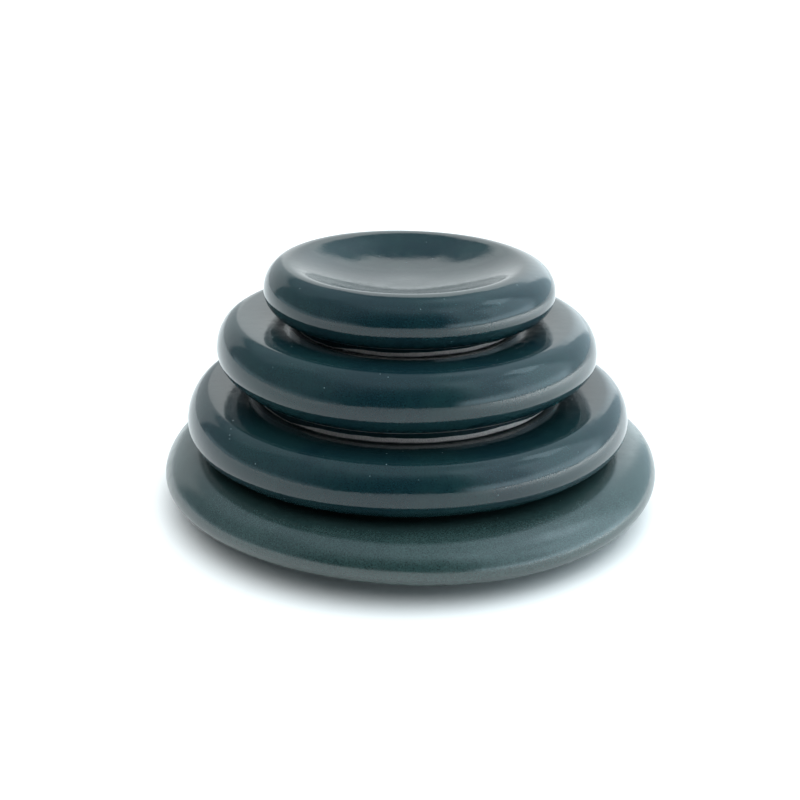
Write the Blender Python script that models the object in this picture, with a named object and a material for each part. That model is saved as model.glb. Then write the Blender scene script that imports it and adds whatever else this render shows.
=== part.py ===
"""A nest of four round stoneware plates with thick rolled rims, stacked by size.

Units are metres, +Z is up. The origin is under the middle of the largest plate, in
the plane that it stands on. Each plate is one fired clay body: a dished top,
a thick rounded rim, a belly that runs in under the rim, and a trimmed foot ring.
Every plate above the lowest stands with its foot ring in the dish below it.
"""

import math

import bmesh
import bpy

# Sizes of the plates, from the lowest of the stack to the top one. For each plate:
# diameter       across the widest level of the rim
# widest_height  from the plane under the foot ring up to that widest level
# crest_rise     from the widest level up to the top of the rim
# crest_inset    from the outer edge in to the top of the rim
# belly_reach    half width of the curve under the rim
# belly_drop     half height of the curve under the rim
# foot_diameter  across the outside of the foot ring
# dish_depth     from the top of the rim down to the floor of the dish
# floor_diameter across the flat floor in the middle of the dish
# crest_roll     how far in from the top of the rim the dish stays nearly level
# floor_roll     how far out from the flat floor the dish stays nearly level
# wander         hand-made run-out of the rim: (waves per turn, sideways, up, heading in degrees)
SERVING_PLATE = {
    "diameter": 0.280,
    "widest_height": 0.0182,
    "crest_rise": 0.0152,
    "crest_inset": 0.0238,
    "belly_reach": 0.0368,
    "belly_drop": 0.0139,
    "foot_diameter": 0.222,
    "dish_depth": 0.0215,
    "floor_diameter": 0.072,
    "crest_roll": 0.035,
    "floor_roll": 0.035,
    "wander": (
        (1, 0.00380, 0.00000, 0.0),
        (2, 0.00030, 0.00020, 27.0),
        (3, 0.00060, 0.00000, 23.0),
        (3, 0.00000, 0.00160, 11.0),
    ),
}
DINNER_PLATE = {
    "diameter": 0.248,
    "widest_height": 0.0180,
    "crest_rise": 0.0171,
    "crest_inset": 0.0130,
    "belly_reach": 0.0240,
    "belly_drop": 0.0146,
    "foot_diameter": 0.190,
    "dish_depth": 0.0150,
    "floor_diameter": 0.060,
    "crest_roll": 0.040,
    "floor_roll": 0.035,
    "wander": (
        (1, 0.00160, 0.00000, 0.0),
        (3, 0.00040, 0.00000, -2.0),
        (2, 0.00000, 0.00060, -47.0),
        (3, 0.00000, 0.00050, 15.0),
    ),
}
DESSERT_PLATE = {
    "diameter": 0.211,
    "widest_height": 0.0237,
    "crest_rise": 0.0182,
    "crest_inset": 0.0146,
    "belly_reach": 0.0420,
    "belly_drop": 0.0203,
    "foot_diameter": 0.169,
    "dish_depth": 0.0140,
    "floor_diameter": 0.040,
    "crest_roll": 0.0375,
    "floor_roll": 0.035,
    "wander": (
        (1, 0.00100, 0.00000, 0.0),
        (1, 0.00000, 0.00040, 180.0),
        (2, 0.00020, 0.00040, -30.0),
        (3, 0.00020, 0.00000, 27.0),
        (3, 0.00000, 0.00050, -49.0),
    ),
}
BREAD_PLATE = {
    "diameter": 0.160,
    "widest_height": 0.0192,
    "crest_rise": 0.0153,
    "crest_inset": 0.0153,
    "belly_reach": 0.0118,
    "belly_drop": 0.0118,
    "foot_diameter": 0.123,
    "dish_depth": 0.0125,
    "floor_diameter": 0.012,
    "crest_roll": 0.008,
    "floor_roll": 0.034,
    "wander": (
        (1, 0.00200, 0.00000, 0.0),
        (1, 0.00000, 0.00030, 180.0),
        (2, 0.00020, 0.00040, -40.0),
        (3, 0.00020, 0.00020, 20.0),
    ),
}

# Sizes that all four plates share.
FOOT_WIDTH = 0.0070
FOOT_BEVEL = 0.0006
FLOOR_THICKNESS = 0.0080
RECESS_FILLET = 0.0100
SEAT_GAP = 0.0003

# Facets of the turned shapes.
TURN_STEPS = 60
DISH_STEPS = 9
RIM_STEPS = 6
BELLY_STEPS = 5
RECESS_STEPS = 3

# Glaze colours as linear values, with their roughness.
PETROL_GLAZE = (0.018, 0.058, 0.075)
PETROL_ROUGHNESS = 0.10
SAGE_GLAZE = (0.060, 0.125, 0.135)
SAGE_ROUGHNESS = 0.42


def clear_scene():
    for old in list(bpy.data.objects):
        bpy.data.objects.remove(old, do_unlink=True)


def crest_height(plate):
    """Height of the top of the rim above the plane under the foot ring."""
    return plate["widest_height"] + plate["crest_rise"]


def dish_point(plate, part_way):
    """A point of the dish, from the edge of its flat floor (0) to the top of the rim (1).

    The dish is a cubic curve that leaves the floor and meets the rim level.
    """
    floor_radius = plate["floor_diameter"] / 2
    crest_radius = plate["diameter"] / 2 - plate["crest_inset"]
    back = 1 - part_way
    radius = (
        floor_radius * back ** 3
        + (floor_radius + plate["floor_roll"]) * 3 * back ** 2 * part_way
        + (crest_radius - plate["crest_roll"]) * 3 * back * part_way ** 2
        + crest_radius * part_way ** 3
    )
    drop = plate["dish_depth"] * (back ** 3 + 3 * back ** 2 * part_way)
    return radius, crest_height(plate) - drop


def plate_outline(plate):
    """Half section of a plate from the middle of the dish, over the rim, to the middle of the base."""
    outer = plate["diameter"] / 2
    foot_outer = plate["foot_diameter"] / 2
    foot_inner = foot_outer - FOOT_WIDTH
    points = [(0.0, dish_point(plate, 0.0)[1])]
    for step in range(DISH_STEPS + 1):
        points.append(dish_point(plate, step / DISH_STEPS))

    # Over the top of the rim and down to the widest level.
    for step in range(1, RIM_STEPS + 1):
        angle = math.pi / 2 * (1 - step / RIM_STEPS)
        points.append((
            outer - plate["crest_inset"] * (1 - math.cos(angle)),
            plate["widest_height"] + plate["crest_rise"] * math.sin(angle),
        ))

    # Under the rim and in to the foot ring.
    middle = outer - plate["belly_reach"]
    last = math.acos(max(foot_outer - middle, 0.0) / plate["belly_reach"])
    for step in range(1, BELLY_STEPS + 1):
        angle = last * step / BELLY_STEPS
        points.append((
            middle + plate["belly_reach"] * math.cos(angle),
            plate["widest_height"] - plate["belly_drop"] * math.sin(angle),
        ))

    if middle > foot_outer:
        points.append((foot_outer, points[-1][1]))

    # The foot ring and the recess inside it.
    points.append((foot_outer, FOOT_BEVEL))
    points.append((foot_outer - FOOT_BEVEL, 0.0))
    points.append((foot_inner + FOOT_BEVEL, 0.0))
    ceiling = crest_height(plate) - plate["dish_depth"] - FLOOR_THICKNESS
    for step in range(RECESS_STEPS + 1):
        angle = math.pi / 2 * step / RECESS_STEPS
        points.append((
            foot_inner - RECESS_FILLET * (1 - math.cos(angle)),
            FOOT_BEVEL + (ceiling - FOOT_BEVEL) * math.sin(angle),
        ))
    points.append((0.0, ceiling))
    return points


def dish_height(plate, radius):
    """Height of the dish at this radius, read from the straight facets of its outline."""
    points = plate_outline(plate)[:DISH_STEPS + 2]
    for (inner, low), (outer, high) in zip(points, points[1:]):
        if inner <= radius <= outer:
            return low + (high - low) * (radius - inner) / (outer - inner)
    return crest_height(plate)


def wander_rim(mesh, plate):
    """Moves the rim a little out of round. The dish inside the foot's radius stays true."""
    foot = plate["foot_diameter"] / 2
    span = plate["diameter"] / 2 - foot
    for vert in mesh.verts:
        radius = math.hypot(vert.co.x, vert.co.y)
        if radius <= foot:
            continue
        share = (radius - foot) / span
        weight = share * share * (3 - 2 * share)
        around = math.atan2(vert.co.y, vert.co.x)
        sideways = 0.0
        upward = 0.0
        for waves, out, rise, heading in plate["wander"]:
            swing = math.cos(waves * (around - math.radians(heading)))
            sideways += out * swing
            upward += rise * swing
        grown = (radius + weight * sideways) / radius
        vert.co.x *= grown
        vert.co.y *= grown
        vert.co.z += weight * upward


def make_plate(name, plate, height, glaze):
    """Turns the outline round the plate's own axis and stands the plate at this height."""
    mesh = bmesh.new()
    verts = [mesh.verts.new((radius, 0.0, z)) for radius, z in plate_outline(plate)]
    edges = [mesh.edges.new(pair) for pair in zip(verts, verts[1:])]
    bmesh.ops.spin(
        mesh,
        geom=verts + edges,
        cent=(0, 0, 0),
        axis=(0, 0, 1),
        angle=2 * math.pi,
        steps=TURN_STEPS,
        use_merge=True,
    )
    bmesh.ops.remove_doubles(mesh, verts=mesh.verts, dist=1e-6)
    bmesh.ops.recalc_face_normals(mesh, faces=mesh.faces)
    wander_rim(mesh, plate)

    data = bpy.data.meshes.new(name)
    mesh.to_mesh(data)
    mesh.free()
    data.shade_smooth()
    data.set_sharp_from_angle(angle=math.radians(35))
    data.materials.append(glaze)
    body = bpy.data.objects.new(name, data)
    bpy.context.scene.collection.objects.link(body)
    body.location.z = height
    return body


def make_glaze(name, colour, roughness):
    """A fired glaze of one colour, glassy or satin."""
    glaze = bpy.data.materials.new(name)
    glaze.use_nodes = True
    shader = glaze.node_tree.nodes["Principled BSDF"]
    shader.inputs["Base Color"].default_value = (*colour, 1.0)
    shader.inputs["Roughness"].default_value = roughness
    shader.inputs["Metallic"].default_value = 0.0
    return glaze


def seat_height(lower, lower_height, upper):
    """Height of the upper plate when the outer edge of its foot ring rests in the lower dish."""
    return lower_height + dish_height(lower, upper["foot_diameter"] / 2) + SEAT_GAP


def centre_of_outline(plate):
    """Middle of the box around a plate that was turned round its own origin."""
    along_x = [vert.co.x for vert in plate.data.vertices]
    along_y = [vert.co.y for vert in plate.data.vertices]
    return (min(along_x) + max(along_x)) / 2, (min(along_y) + max(along_y)) / 2


def build_stack():
    gloss = make_glaze("petrol_gloss_glaze", PETROL_GLAZE, PETROL_ROUGHNESS)
    satin = make_glaze("sage_satin_glaze", SAGE_GLAZE, SAGE_ROUGHNESS)
    dinner_seat = seat_height(SERVING_PLATE, 0.0, DINNER_PLATE)
    dessert_seat = seat_height(DINNER_PLATE, dinner_seat, DESSERT_PLATE)
    bread_seat = seat_height(DESSERT_PLATE, dessert_seat, BREAD_PLATE)
    plates = [
        make_plate("serving_plate", SERVING_PLATE, 0.0, satin),
        make_plate("dinner_plate", DINNER_PLATE, dinner_seat, gloss),
        make_plate("dessert_plate", DESSERT_PLATE, dessert_seat, gloss),
        make_plate("bread_plate", BREAD_PLATE, bread_seat, gloss),
    ]

    # The foot rings share one axis. The middle of the largest outline is set over the origin.
    middle_x, middle_y = centre_of_outline(plates[0])
    for plate in plates:
        plate.location.x = -middle_x
        plate.location.y = -middle_y


clear_scene()
build_stack()
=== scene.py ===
import math

import bmesh
import bpy
from mathutils import Matrix, Vector


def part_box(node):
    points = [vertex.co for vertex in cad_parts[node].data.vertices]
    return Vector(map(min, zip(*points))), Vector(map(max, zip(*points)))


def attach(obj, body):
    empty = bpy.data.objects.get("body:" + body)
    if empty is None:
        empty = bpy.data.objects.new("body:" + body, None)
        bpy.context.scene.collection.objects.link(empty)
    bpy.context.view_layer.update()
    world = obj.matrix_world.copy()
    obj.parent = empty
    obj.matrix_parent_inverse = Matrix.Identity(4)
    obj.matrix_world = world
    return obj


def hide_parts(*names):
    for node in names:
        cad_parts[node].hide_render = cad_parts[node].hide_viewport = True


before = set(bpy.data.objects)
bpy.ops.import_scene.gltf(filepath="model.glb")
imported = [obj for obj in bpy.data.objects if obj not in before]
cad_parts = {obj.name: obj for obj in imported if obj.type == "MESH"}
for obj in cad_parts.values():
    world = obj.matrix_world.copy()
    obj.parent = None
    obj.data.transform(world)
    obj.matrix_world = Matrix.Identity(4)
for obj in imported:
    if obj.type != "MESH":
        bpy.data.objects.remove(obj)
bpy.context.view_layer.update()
print("frame loaded")


# camera first

cameraPlan = {
    "place": (-0.0011, -0.6353, 0.3095),
    "downDegrees": 21.77,
    "rollDegrees": 0.77,
    "lens": 54.0,
    "sensorWidth": 36.0,
    "shift": (-0.0121, -0.0052),
    "clip": (0.01, 60.0),
}


def makeCamera(plan):
    data = bpy.data.cameras.new("camera")
    data.lens = plan["lens"]
    data.sensor_width = plan["sensorWidth"]
    data.shift_x, data.shift_y = plan["shift"]
    data.clip_start, data.clip_end = plan["clip"]
    camera = bpy.data.objects.new("camera", data)
    bpy.context.scene.collection.objects.link(camera)
    tilt = Matrix.Rotation(math.radians(90.0 - plan["downDegrees"]), 4, "X")
    roll = Matrix.Rotation(math.radians(plan["rollDegrees"]), 4, "Z")
    camera.matrix_world = Matrix.Translation(plan["place"]) @ tilt @ roll
    bpy.context.scene.camera = camera


makeCamera(cameraPlan)
print("camera set")


# small helpers for shader nodes

class NodeBench:
    # adds nodes to one material or world and wires them up

    def __init__(self, owner):
        owner.use_nodes = True
        self.tree = owner.node_tree
        self.shader = self.tree.nodes.get("Principled BSDF")

    def add(self, kind, settings=None, **sockets):
        node = self.tree.nodes.new(kind)
        for key, value in (settings or {}).items():
            setattr(node, key, value)
        for key, value in sockets.items():
            self.feed(node, key, value)
        return node

    def feed(self, node, key, value):
        # a socket is named by its label with the spaces left out, or by its number
        socket = self.socket(node, key)
        if isinstance(value, bpy.types.NodeSocket):
            self.tree.links.new(value, socket)
        else:
            socket.default_value = value

    def socket(self, node, key):
        if key.startswith("slot"):
            return node.inputs[int(key[4:])]
        for socket in node.inputs:
            if socket.name.replace(" ", "") == key:
                return socket
        raise KeyError(key)

    def place(self):
        return self.add("ShaderNodeTexCoord").outputs["Object"]

    def noise(self, place, kind):
        scale, detail, roughness = kind
        node = self.add(
            "ShaderNodeTexNoise",
            Vector=place, Scale=scale, Detail=detail, Roughness=roughness,
        )
        return node.outputs["Fac"]

    def cells(self, place, scale):
        return self.add("ShaderNodeTexVoronoi", Vector=place, Scale=scale).outputs

    def axes(self, vector):
        return self.add("ShaderNodeSeparateXYZ", Vector=vector).outputs

    def band(self, value, low, high, start=0.0, end=1.0):
        # a smooth step from start to end while value goes from low to high
        node = self.add(
            "ShaderNodeMapRange", {"interpolation_type": "SMOOTHSTEP"},
            Value=value, FromMin=low, FromMax=high, ToMin=start, ToMax=end,
        )
        return node.outputs["Result"]

    def math(self, operation, first, second=0.0):
        node = self.add("ShaderNodeMath", {"operation": operation}, slot0=first, slot1=second)
        return node.outputs["Value"]

    def sum(self, first, second):
        return self.math("ADD", first, second)

    def product(self, first, second):
        return self.math("MULTIPLY", first, second)

    def distance(self, first, second):
        return self.math("ABSOLUTE", self.math("SUBTRACT", first, second))

    def mixColour(self, share, first, second, blend="MIX"):
        node = self.add("ShaderNodeMix", {"data_type": "RGBA", "blend_type": blend})
        self.feed(node, "slot0", share)
        self.feed(node, "slot6", first)
        self.feed(node, "slot7", second)
        return node.outputs[2]


def colour(red, green, blue):
    return (red, green, blue, 1.0)


# glazes and clay; a noise is given as scale, detail and roughness

petrolGlaze = {
    "deep": colour(0.0038, 0.0160, 0.0208),
    "thin": colour(0.0058, 0.0226, 0.0252),
    "fleck": colour(0.190, 0.270, 0.280),
    "iron": colour(0.0022, 0.0080, 0.0110),
    "cloudNoise": (22.0, 3.0, 0.55),
    "streakNoise": (95.0, 5.0, 0.6),
    "grainNoise": (1100.0, 3.0, 0.6),
    "grainShade": 0.14,
    "fleckScale": 260.0,
    "fleckShare": 0.88,
    "ironScale": 520.0,
    "rough": (0.07, 0.15),
    "peelNoise": (190.0, 2.0, 0.45),
    "peelDepth": 0.00004,
    "fineNoise": (760.0, 2.0, 0.5),
    "fineDepth": 0.000016,
    "ior": 1.50,
}

sageGlaze = {
    "deep": colour(0.0140, 0.0318, 0.0312),
    "thin": colour(0.0192, 0.0408, 0.0392),
    "fleck": colour(0.120, 0.165, 0.160),
    "iron": colour(0.0130, 0.0310, 0.0330),
    "cloudNoise": (26.0, 3.0, 0.55),
    "streakNoise": (120.0, 5.0, 0.6),
    "grainNoise": (1300.0, 3.0, 0.6),
    "grainShade": 0.34,
    "fleckScale": 300.0,
    "fleckShare": 0.93,
    "ironScale": 620.0,
    "rough": (0.17, 0.25),
    "peelNoise": (420.0, 2.0, 0.45),
    "peelDepth": 0.00003,
    "fineNoise": (1100.0, 2.0, 0.5),
    "fineDepth": 0.000032,
    "ior": 1.70,
}

# what both glazes share; a band gives the low and high end of a smooth step
anyGlaze = {
    "cloudPart": 0.6,
    "streakPart": 0.4,
    "thicknessBand": (0.38, 0.62),
    "grainBand": (0.3, 0.7),
    "ironBand": (0.08, 0.20),
    "ironStrength": 0.6,
    "fleckBand": (0.04, 0.11),
    "fleckStrength": 0.6,
    "pinholeDepth": 0.00008,
    "roughNoise": (140.0, 4.0, 0.6),
    "roughBand": (0.35, 0.65),
    "scuffBand": (0.0025, 0.0065),
    "scuffRough": 0.24,
    "dishBand": (0.0030, 0.0040),
}

bareClay = {
    "light": colour(0.680, 0.600, 0.565),
    "dark": colour(0.500, 0.440, 0.410),
    # the next two paint a contact shadow: the clay goes near black in its lowest millimetre,
    # where the ring stands
    "stain": colour(0.060, 0.058, 0.056),
    "stainBand": (0.0003, 0.0011),
    "rough": 0.82,
    "grainNoise": (1500.0, 4.0, 0.6),
    "grainBand": (0.35, 0.65),
    "grainDepth": 0.00012,
    "waveNoise": (60.0, 2.0, 0.5),
    "waveBand": (0.3, 0.7),
    "waveHeight": 0.00025,
    "edgeBlur": 0.00012,
    # the next two lower the bare clay at the left and right of the ring to a thin strip: painted
    # shade, glaze colour standing in for the shadow there
    "sideFade": 0.018,
    "sideTop": 0.0009,
}


def makeGlaze(name, plan, centre):
    # fired glaze over the whole plate, with bare clay on the foot ring
    glaze = plan["glaze"]
    material = bpy.data.materials.new(name)
    bench = NodeBench(material)
    place = bench.place()

    cloud = bench.noise(place, glaze["cloudNoise"])
    streak = bench.noise(place, glaze["streakNoise"])
    thickness = bench.sum(
        bench.product(cloud, anyGlaze["cloudPart"]),
        bench.product(streak, anyGlaze["streakPart"]),
    )
    thinShare = bench.band(thickness, *anyGlaze["thicknessBand"])
    body = bench.mixColour(thinShare, glaze["deep"], glaze["thin"])
    grain = bench.noise(place, glaze["grainNoise"])
    darker, lighter = 1.0 - glaze["grainShade"], 1.0 + glaze["grainShade"]
    shade = bench.band(grain, *anyGlaze["grainBand"], darker, lighter)
    grained = bench.mixColour(1.0, body, shade, "MULTIPLY")

    ironCells = bench.cells(place, glaze["ironScale"])
    iron = bench.band(ironCells["Distance"], *anyGlaze["ironBand"], anyGlaze["ironStrength"], 0.0)
    spotted = bench.mixColour(iron, grained, glaze["iron"])

    # pale flecks sit in a few cells only, each with a pinhole in the middle
    fleckCells = bench.cells(place, glaze["fleckScale"])
    draw = bench.axes(fleckCells["Color"])["X"]
    chosen = bench.math("GREATER_THAN", draw, glaze["fleckShare"])
    dot = bench.band(fleckCells["Distance"], *anyGlaze["fleckBand"], 1.0, 0.0)
    fleck = bench.product(chosen, dot)
    fleckMix = bench.product(fleck, anyGlaze["fleckStrength"])
    flecked = bench.mixColour(fleckMix, spotted, glaze["fleck"])

    # the glaze stops in a wavy line on the foot ring; left and right of the lit middle the bare
    # clay is cut down to a thin strip, glaze colour painting the shade the ring lies in there
    parts = bench.axes(place)
    waveHeight = bareClay["waveHeight"]
    waveNoise = bench.noise(place, bareClay["waveNoise"])
    wave = bench.band(waveNoise, *bareClay["waveBand"], -waveHeight, waveHeight)
    height = bench.math("SUBTRACT", bench.sum(parts["Z"], wave), centre.z)
    aside = bench.distance(parts["X"], plan["clayMiddle"])
    fadeEnd = plan["clayReach"] + bareClay["sideFade"]
    clayTop = bench.band(aside, plan["clayReach"], fadeEnd, plan["clayTop"], bareClay["sideTop"])
    overClay = bench.math("SUBTRACT", height, clayTop)
    clayShare = bench.band(overClay, -bareClay["edgeBlur"], bareClay["edgeBlur"], 1.0, 0.0)
    clayNoise = bench.noise(place, bareClay["grainNoise"])
    lightShare = bench.band(clayNoise, *bareClay["grainBand"])
    dryClay = bench.mixColour(lightShare, bareClay["dark"], bareClay["light"])
    # painted contact shadow: the clay darkens towards the bottom of the ring, where it meets the
    # surface below
    stain = bench.band(height, *bareClay["stainBand"], 1.0, 0.0)
    clayColour = bench.mixColour(stain, dryClay, bareClay["stain"])
    bench.feed(bench.shader, "BaseColor", bench.mixColour(clayShare, flecked, clayColour))

    roughNoise = bench.noise(place, anyGlaze["roughNoise"])
    glazeRough = bench.band(roughNoise, *anyGlaze["roughBand"], *glaze["rough"])
    if plan["seatRadius"]:
        # the foot ring of the plate above has scuffed the dish where it stands
        level = bench.add(
            "ShaderNodeVectorMath", {"operation": "MULTIPLY"}, slot0=place, slot1=(1, 1, 0),
        ).outputs["Vector"]
        axis = (centre.x, centre.y, 0)
        radius = bench.add(
            "ShaderNodeVectorMath", {"operation": "DISTANCE"}, slot0=level, slot1=axis,
        ).outputs["Value"]
        offSeat = bench.distance(radius, plan["seatRadius"])
        ring = bench.band(offSeat, *anyGlaze["scuffBand"], anyGlaze["scuffRough"], 0.0)
        low, high = anyGlaze["dishBand"]
        inDish = bench.band(parts["Z"], centre.z + low, centre.z + high)
        glazeRough = bench.sum(glazeRough, bench.product(ring, inDish))
    roughMix = bench.add("ShaderNodeMix", {"data_type": "FLOAT"})
    bench.feed(roughMix, "slot0", clayShare)
    bench.feed(roughMix, "slot2", glazeRough)
    bench.feed(roughMix, "slot3", bareClay["rough"])
    bench.feed(bench.shader, "Roughness", roughMix.outputs[0])
    bench.feed(bench.shader, "IOR", glaze["ior"])

    # slow orange peel, fine ripple, pinholes, and the grain of the clay
    reliefs = (
        (bench.noise(place, glaze["peelNoise"]), glaze["peelDepth"]),
        (bench.noise(place, glaze["fineNoise"]), glaze["fineDepth"]),
        (bench.math("SUBTRACT", 1.0, fleck), anyGlaze["pinholeDepth"]),
        (bench.product(clayNoise, clayShare), bareClay["grainDepth"]),
    )
    normal = None
    for relief, depth in reliefs:
        bump = bench.add("ShaderNodeBump", Strength=1.0, Distance=depth, Height=relief)
        if normal:
            bench.feed(bump, "Normal", normal)
        normal = bump.outputs["Normal"]
    bench.feed(bench.shader, "Normal", normal)
    return material


# plates, turned round the axis of their foot rings; sizes are in metres
# bare clay is clayTop high across the lit middle of the ring and lowered beyond it to the left
# and right, which paints the shade on the sides of the ring
# a wander row gives waves per turn, movement sideways and up, and the heading in degrees

platePlans = {
    "serving_plate": {
        "slot": "sage_satin_glaze",
        "glaze": sageGlaze,
        "diameter": 0.280,
        "widestHeight": 0.0182,
        "crestRise": 0.0152,
        "crestInset": 0.0238,
        "bellyReach": 0.0368,
        "bellyDrop": 0.0139,
        "footDiameter": 0.222,
        "dishDepth": 0.0215,
        "floorDiameter": 0.072,
        "crestRoll": 0.035,
        "floorRoll": 0.035,
        "clayTop": 0.0014,
        "clayMiddle": 0.0,
        "clayReach": 0.070,
        "seatRadius": 0.095,
        "wander": (
            (1, 0.00380, 0.00000, 0.0),
            (2, 0.00030, 0.00020, 27.0),
            (3, 0.00060, 0.00000, 23.0),
            (3, 0.00000, 0.00160, 11.0),
        ),
        "handSeed": 0.7,
    },
    "dinner_plate": {
        "slot": "petrol_gloss_glaze",
        "glaze": petrolGlaze,
        "diameter": 0.248,
        "widestHeight": 0.0180,
        "crestRise": 0.0171,
        "crestInset": 0.0130,
        "bellyReach": 0.0240,
        "bellyDrop": 0.0146,
        "footDiameter": 0.190,
        "dishDepth": 0.0150,
        "floorDiameter": 0.060,
        "crestRoll": 0.040,
        "floorRoll": 0.035,
        "clayTop": 0.0016,
        "clayMiddle": 0.0,
        "clayReach": 0.060,
        "seatRadius": 0.0845,
        "wander": (
            (1, 0.00160, 0.00000, 0.0),
            (3, 0.00040, 0.00000, -2.0),
            (2, 0.00000, 0.00060, -47.0),
            (3, 0.00000, 0.00050, 15.0),
        ),
        "handSeed": 2.1,
    },
    "dessert_plate": {
        "slot": "petrol_gloss_glaze",
        "glaze": petrolGlaze,
        "diameter": 0.211,
        "widestHeight": 0.0237,
        "crestRise": 0.0182,
        "crestInset": 0.0146,
        "bellyReach": 0.0420,
        "bellyDrop": 0.0203,
        "footDiameter": 0.169,
        "dishDepth": 0.0140,
        "floorDiameter": 0.040,
        "crestRoll": 0.0375,
        "floorRoll": 0.035,
        "clayTop": 0.0030,
        "clayMiddle": 0.004,
        "clayReach": 0.048,
        "seatRadius": 0.0615,
        "wander": (
            (1, 0.00100, 0.00000, 0.0),
            (1, 0.00000, 0.00040, 180.0),
            (2, 0.00020, 0.00040, -30.0),
            (3, 0.00020, 0.00000, 27.0),
            (3, 0.00000, 0.00050, -49.0),
        ),
        "handSeed": 3.9,
    },
    "bread_plate": {
        "slot": "petrol_gloss_glaze",
        "glaze": petrolGlaze,
        "diameter": 0.160,
        "widestHeight": 0.0192,
        "crestRise": 0.0153,
        "crestInset": 0.0153,
        "bellyReach": 0.0118,
        "bellyDrop": 0.0118,
        "footDiameter": 0.123,
        "dishDepth": 0.0125,
        "floorDiameter": 0.012,
        "crestRoll": 0.008,
        "floorRoll": 0.034,
        "clayTop": 0.0026,
        "clayMiddle": 0.005,
        "clayReach": 0.028,
        "seatRadius": None,
        "wander": (
            (1, 0.00200, 0.00000, 0.0),
            (1, 0.00000, 0.00030, 180.0),
            (2, 0.00020, 0.00040, -40.0),
            (3, 0.00020, 0.00020, 20.0),
        ),
        "handSeed": 5.2,
    },
}

footPlan = {
    "width": 0.0070,
    "bevel": 0.0006,
    "floorThickness": 0.0080,
    "recessFillet": 0.0100,
}

# steps round the turn and along each stretch of the half section
turning = {
    "around": 240,
    "dish": 40,
    "rim": 30,
    "belly": 26,
    "recess": 10,
    "floor": 8,
    "bevel": 4,
    "standing": 0.0001,   # vertices this close to the lowest level are under the foot ring
    "onAxis": 1e-7,
}

# slow unevenness of a turned and sponged rim, about a tenth of a millimetre
# each wave gives its count per turn, its size, and how the seed and the way along shift it
handPlan = {
    "depth": 0.00016,
    "pitch": 0.02,
    "fadeIn": 0.4,
    "waves": ((4, 1.0, 1.0, 2.0), (7, 0.7, 2.3, -3.0), (11, 0.4, 3.1, 5.0)),
}


def crestHeight(plan):
    return plan["widestHeight"] + plan["crestRise"]


def dishPoint(plan, partWay):
    # 0 is the edge of the flat floor and 1 is the top of the rim
    floorRadius = plan["floorDiameter"] / 2
    crestRadius = plan["diameter"] / 2 - plan["crestInset"]
    back = 1 - partWay
    radius = (
        floorRadius * back ** 3
        + (floorRadius + plan["floorRoll"]) * 3 * back ** 2 * partWay
        + (crestRadius - plan["crestRoll"]) * 3 * back * partWay ** 2
        + crestRadius * partWay ** 3
    )
    drop = plan["dishDepth"] * (back ** 3 + 3 * back ** 2 * partWay)
    return radius, crestHeight(plan) - drop


def outlineOf(plan):
    # half section, from the middle of the dish over the rim to the middle of the base
    outer = plan["diameter"] / 2
    footOuter = plan["footDiameter"] / 2
    footInner = footOuter - footPlan["width"]
    bevel = footPlan["bevel"]
    floorRadius, floorHeight = dishPoint(plan, 0.0)
    points = []
    for step in range(turning["floor"]):
        points.append((floorRadius * step / turning["floor"], floorHeight))
    for step in range(turning["dish"] + 1):
        points.append(dishPoint(plan, step / turning["dish"]))
    for step in range(1, turning["rim"] + 1):
        angle = math.pi / 2 * (1 - step / turning["rim"])
        points.append((
            outer - plan["crestInset"] * (1 - math.cos(angle)),
            plan["widestHeight"] + plan["crestRise"] * math.sin(angle),
        ))

    middle = outer - plan["bellyReach"]
    last = math.acos(max(footOuter - middle, 0.0) / plan["bellyReach"])
    for step in range(1, turning["belly"] + 1):
        angle = last * step / turning["belly"]
        points.append((
            middle + plan["bellyReach"] * math.cos(angle),
            plan["widestHeight"] - plan["bellyDrop"] * math.sin(angle),
        ))
    if middle > footOuter:
        points.append((footOuter, points[-1][1]))

    # down the outside of the foot ring, under it, and up into the recess
    wallTop = points[-1][1]
    for step in range(1, turning["bevel"]):
        points.append((footOuter, wallTop + (bevel - wallTop) * step / turning["bevel"]))
    for step in range(turning["bevel"] + 1):
        angle = math.pi / 2 * step / turning["bevel"]
        points.append((
            footOuter - bevel + bevel * math.cos(angle),
            bevel - bevel * math.sin(angle),
        ))
    for step in range(turning["bevel"] + 1):
        angle = math.pi / 2 * step / turning["bevel"]
        points.append((
            footInner + bevel - bevel * math.sin(angle),
            bevel - bevel * math.cos(angle),
        ))
    ceiling = floorHeight - footPlan["floorThickness"]
    for step in range(1, turning["recess"] + 1):
        angle = math.pi / 2 * step / turning["recess"]
        points.append((
            footInner - footPlan["recessFillet"] * (1 - math.cos(angle)),
            bevel + (ceiling - bevel) * math.sin(angle),
        ))
    flatRadius = footInner - footPlan["recessFillet"]
    for step in range(turning["floor"] - 1, -1, -1):
        points.append((flatRadius * step / turning["floor"], ceiling))
    return points


def smooth(share):
    share = min(max(share, 0.0), 1.0)
    return share * share * (3 - 2 * share)


def wanderOf(plan, radius, around):
    # run-out of the rim; the dish inside the radius of the foot stays true
    foot = plan["footDiameter"] / 2
    weight = smooth((radius - foot) / (plan["diameter"] / 2 - foot))
    sideways = 0.0
    upward = 0.0
    for waves, out, rise, heading in plan["wander"]:
        swing = math.cos(waves * (around - math.radians(heading)))
        sideways += out * swing
        upward += rise * swing
    return weight * sideways, weight * upward


def handOf(plan, along, around):
    seed = plan["handSeed"]
    pitches = along / handPlan["pitch"]
    slow = 0.0
    for count, size, seedShift, alongShift in handPlan["waves"]:
        slow += size * math.sin(count * around + seedShift * seed + alongShift * pitches)
    return handPlan["depth"] * slow / sum(wave[1] for wave in handPlan["waves"])


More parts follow.
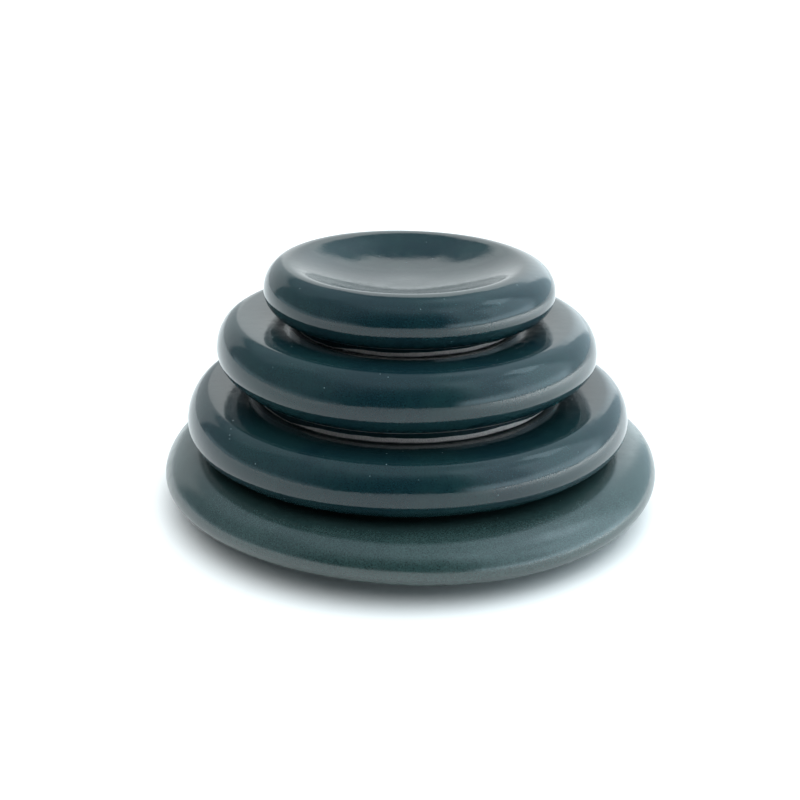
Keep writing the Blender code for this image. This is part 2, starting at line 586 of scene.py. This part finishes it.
def turnPlate(name, plan):
    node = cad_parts[name]
    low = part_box(name)[0]
    standing = [v.co for v in node.data.vertices if v.co.z < low[2] + turning["standing"]]
    centre = Vector((
        (min(c.x for c in standing) + max(c.x for c in standing)) / 2,
        (min(c.y for c in standing) + max(c.y for c in standing)) / 2,
        low[2],
    ))
    outline = outlineOf(plan)
    foot = plan["footDiameter"] / 2
    span = plan["diameter"] / 2 - foot

    mesh = bmesh.new()
    rings = []
    along = 0.0
    for index, (radius, z) in enumerate(outline):
        if index:
            along += math.hypot(radius - outline[index - 1][0], z - outline[index - 1][1])
        if radius < turning["onAxis"]:
            rings.append([mesh.verts.new(centre + Vector((0, 0, z)))])
            continue
        ring = []
        for step in range(turning["around"]):
            around = 2 * math.pi * step / turning["around"]
            outward, upward = wanderOf(plan, radius, around)
            share = smooth((radius - foot) / (handPlan["fadeIn"] * span))
            outward += share * handOf(plan, along, around)
            wide = radius + outward
            ring.append(mesh.verts.new(centre + Vector((
                wide * math.cos(around), wide * math.sin(around), z + upward,
            ))))
        rings.append(ring)

    count = turning["around"]
    for upper, lower in zip(rings, rings[1:]):
        for step in range(count):
            after = (step + 1) % count
            if len(upper) == 1:
                mesh.faces.new((upper[0], lower[step], lower[after]))
            elif len(lower) == 1:
                mesh.faces.new((upper[step], lower[0], upper[after]))
            else:
                mesh.faces.new((upper[step], lower[step], lower[after], upper[after]))
    bmesh.ops.recalc_face_normals(mesh, faces=mesh.faces)

    data = bpy.data.meshes.new(name + "_turned")
    mesh.to_mesh(data)
    mesh.free()
    data.shade_smooth()
    piece = bpy.data.objects.new(name + "_turned", data)
    bpy.context.scene.collection.objects.link(piece)
    data.materials.append(makeGlaze(name + "_glaze", plan, centre))
    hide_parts(name)
    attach(piece, name)


for name, plan in platePlans.items():
    turnPlate(name, plan)
    print("turned", name)


# floor and light

floorPlan = {
    "size": 11.0,
    "cells": 8,
    "colour": colour(0.84, 0.84, 0.83),
    "rough": 0.45,
}

# bearings are degrees from straight behind, positive to the right; low, high and up are
# degrees above the table. The panels and pools light the table and stay out of the glaze.
panelPlans = {
    "ceilingPanel": {
        "bearing": 0.0, "low": 42.0, "high": 138.0, "wide": 96.0, "away": 5.0,
        "radiance": 1.8, "colour": (1.0, 1.0, 1.0),
    },
    "frontPanel": {
        "bearing": 138.0, "low": 2.0, "high": 28.0, "wide": 70.0, "away": 2.2,
        "radiance": 0.36, "colour": (1.0, 0.99, 0.98),
    },
}

# pools of window light on the table, beside the stack
poolPlans = {
    "rightPool": {
        "bearing": 102.0, "away": 1.18, "height": 1.8, "cone": 62.0,
        "radiance": 5.0, "softness": 0.1, "colour": (0.93, 0.98, 1.0),
    },
    "leftPool": {
        "bearing": -116.0, "away": 1.30, "height": 2.0, "cone": 50.0,
        "radiance": 0.5, "softness": 0.1, "colour": (1.0, 1.0, 1.0),
    },
}

# brightness of the room around the table, as soft patches added to a dim base
daylight = colour(1.0, 1.0, 0.98)
skylight = colour(0.78, 1.0, 1.12)
roomPlan = {
    "seen": colour(0.97, 0.97, 0.97),
    "wall": skylight,
    "front": 0.015,
    "base": 0.36,
    "frontFade": (-0.93, -0.35),
    "patches": {
        "ceiling": {
            "bearing": (-200.0, 200.0), "up": (58.0, 120.0),
            "soft": 24.0, "add": 0.32, "tint": skylight,
        },
        "backWindow": {
            "bearing": (-52.0, 28.0), "up": (-4.0, 28.0),
            "soft": 3.0, "add": 0.50, "tint": daylight,
        },
        "backBright": {
            "bearing": (-14.0, 28.0), "up": (-4.0, 28.0),
            "soft": 4.0, "add": 0.52, "tint": daylight,
        },
        "backPane": {
            "bearing": (-14.0, 13.0), "up": (28.0, 34.5),
            "soft": 2.5, "add": 1.15, "tint": daylight,
        },
        "backArch": {
            "bearing": (-9.0, 9.0), "up": (34.5, 43.0),
            "soft": 2.5, "add": 1.30, "tint": daylight,
        },
        "rightGlow": {
            "bearing": (14.0, 142.0), "up": (-20.0, 68.0),
            "soft": 22.0, "add": 0.80, "tint": skylight,
        },
        "rightWindow": {
            "bearing": (66.0, 114.0), "up": (8.0, 44.0),
            "soft": 12.0, "add": 0.85, "tint": skylight,
        },
        "rightStrip": {
            "bearing": (72.0, 150.0), "up": (-12.0, 10.0),
            "soft": 12.0, "add": 2.00, "tint": skylight,
        },
        "rightLamp": {
            "bearing": (62.0, 86.0), "up": (42.0, 56.0),
            "soft": 5.0, "add": 1.60, "tint": skylight,
        },
        "leftStrip": {
            "bearing": (-142.0, -60.0), "up": (-12.0, 4.0),
            "soft": 8.0, "add": 0.60, "tint": skylight,
        },
        "leftWall": {
            "bearing": (-75.0, -15.0), "up": (34.0, 60.0),
            "soft": 14.0, "add": 0.25, "tint": skylight,
        },
    },
}


def makeFloor(plan):
    mesh = bmesh.new()
    cells = plan["cells"]
    bmesh.ops.create_grid(mesh, x_segments=cells, y_segments=cells, size=plan["size"] / 2)
    data = bpy.data.meshes.new("floor")
    mesh.to_mesh(data)
    mesh.free()
    floor = bpy.data.objects.new("floor", data)
    bpy.context.scene.collection.objects.link(floor)
    material = bpy.data.materials.new("floorPaper")
    bench = NodeBench(material)
    bench.feed(bench.shader, "BaseColor", plan["colour"])
    bench.feed(bench.shader, "Roughness", plan["rough"])
    data.materials.append(material)


def makePanel(name, plan):
    away = plan["away"]
    middle = math.radians((plan["low"] + plan["high"]) / 2)
    bearing = math.radians(plan["bearing"])
    place = away * Vector((
        math.sin(bearing) * math.cos(middle),
        math.cos(bearing) * math.cos(middle),
        math.sin(middle),
    ))
    data = bpy.data.lights.new(name, "AREA")
    data.shape = "RECTANGLE"
    data.size = 2 * away * math.tan(math.radians(plan["wide"] / 2))
    data.size_y = 2 * away * math.tan(math.radians((plan["high"] - plan["low"]) / 2))
    data.color = plan["colour"]
    data.energy = plan["radiance"] * math.pi * data.size * data.size_y
    panel = bpy.data.objects.new(name, data)
    bpy.context.scene.collection.objects.link(panel)
    panel.location = place
    panel.rotation_euler = (-place).to_track_quat("-Z", "Y").to_euler()
    panel.visible_camera = False
    panel.visible_glossy = False


def makePool(name, plan):
    # a soft spot straight above its pool, as strong as the floor needs to reach this radiance
    bearing = math.radians(plan["bearing"])
    away = plan["away"]
    data = bpy.data.lights.new(name, "SPOT")
    data.spot_size = math.radians(plan["cone"])
    data.spot_blend = 1.0
    data.shadow_soft_size = plan["softness"]
    data.color = plan["colour"]
    sphere = 4 * (math.pi * plan["height"]) ** 2
    data.energy = plan["radiance"] * sphere / floorPlan["colour"][1]
    pool = bpy.data.objects.new(name, data)
    bpy.context.scene.collection.objects.link(pool)
    pool.location = (away * math.sin(bearing), away * math.cos(bearing), plan["height"])
    pool.visible_camera = False
    pool.visible_glossy = False


def makeRoom(plan):
    # the room is dark in front, and the camera sees a pale backdrop past the edge of the floor
    world = bpy.data.worlds.new("room")
    bench = NodeBench(world)
    heading = bench.add("ShaderNodeTexCoord").outputs["Generated"]
    parts = bench.axes(heading)
    bearing = bench.math("ARCTAN2", parts["X"], parts["Y"])
    up = bench.math("ARCSINE", parts["Z"])
    wall = bench.band(parts["Y"], *plan["frontFade"], plan["front"], plan["base"])
    light = bench.mixColour(1.0, plan["wall"], wall, "MULTIPLY")
    for patch in plan["patches"].values():
        soft = math.radians(patch["soft"])
        share = patch["add"]
        for angle, limits in ((bearing, patch["bearing"]), (up, patch["up"])):
            low, high = (math.radians(limit) for limit in limits)
            rising = bench.band(angle, low - soft / 2, low + soft / 2)
            falling = bench.band(angle, high - soft / 2, high + soft / 2, 1.0, 0.0)
            share = bench.product(bench.product(rising, falling), share)
        glow = bench.mixColour(1.0, patch["tint"], share, "MULTIPLY")
        light = bench.mixColour(1.0, light, glow, "ADD")
    cameraRay = bench.add("ShaderNodeLightPath").outputs["Is Camera Ray"]
    shown = bench.mixColour(cameraRay, light, plan["seen"])
    bench.feed(bench.tree.nodes["Background"], "Color", shown)
    bpy.context.scene.world = world


makeFloor(floorPlan)
for name, plan in panelPlans.items():
    makePanel(name, plan)
for name, plan in poolPlans.items():
    makePool(name, plan)
makeRoom(roomPlan)
bpy.context.scene.view_settings.view_transform = "Standard"
print("floor and lights set")
